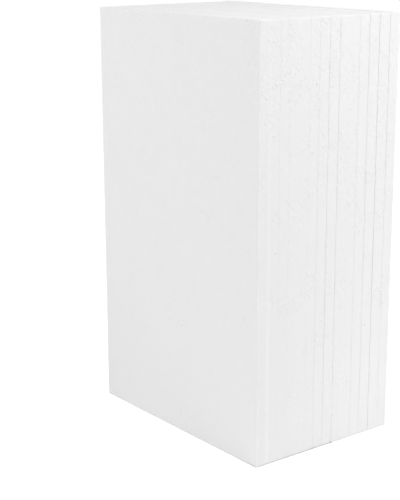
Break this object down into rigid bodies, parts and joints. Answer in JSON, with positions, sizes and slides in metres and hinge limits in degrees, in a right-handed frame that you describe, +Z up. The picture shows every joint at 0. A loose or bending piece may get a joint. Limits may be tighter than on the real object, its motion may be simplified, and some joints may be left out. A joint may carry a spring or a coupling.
{
  "type": "foam block",
  "caption": "Block of loose, rigid expanded polystyrene sheets that stand on end, face to face; stock for craft, packing and insulation.",
  "frame": {"origin": "middle of the block's foot, on the surface that it stands on", "axes": "+Z up along the height of the sheets, +X along their width, +Y through the block from the front sheet to the back one"},
  "size_m": [0.2615, 0.1778, 0.4318],
  "materials": {
    "foam": "matt white expanded polystyrene, hot-wire cut, with its beads showing faintly"
  },
  "bodies": {
    "root": {"sheet_01": "foam", "sheet_02": "foam", "sheet_03": "foam", "sheet_04": "foam", "sheet_05": "foam", "sheet_06": "foam", "sheet_07": "foam", "sheet_08": "foam", "sheet_09": "foam", "sheet_10": "foam", "sheet_11": "foam", "sheet_12": "foam", "sheet_13": "foam", "sheet_14": "foam"}
  },
  "joints": []
}
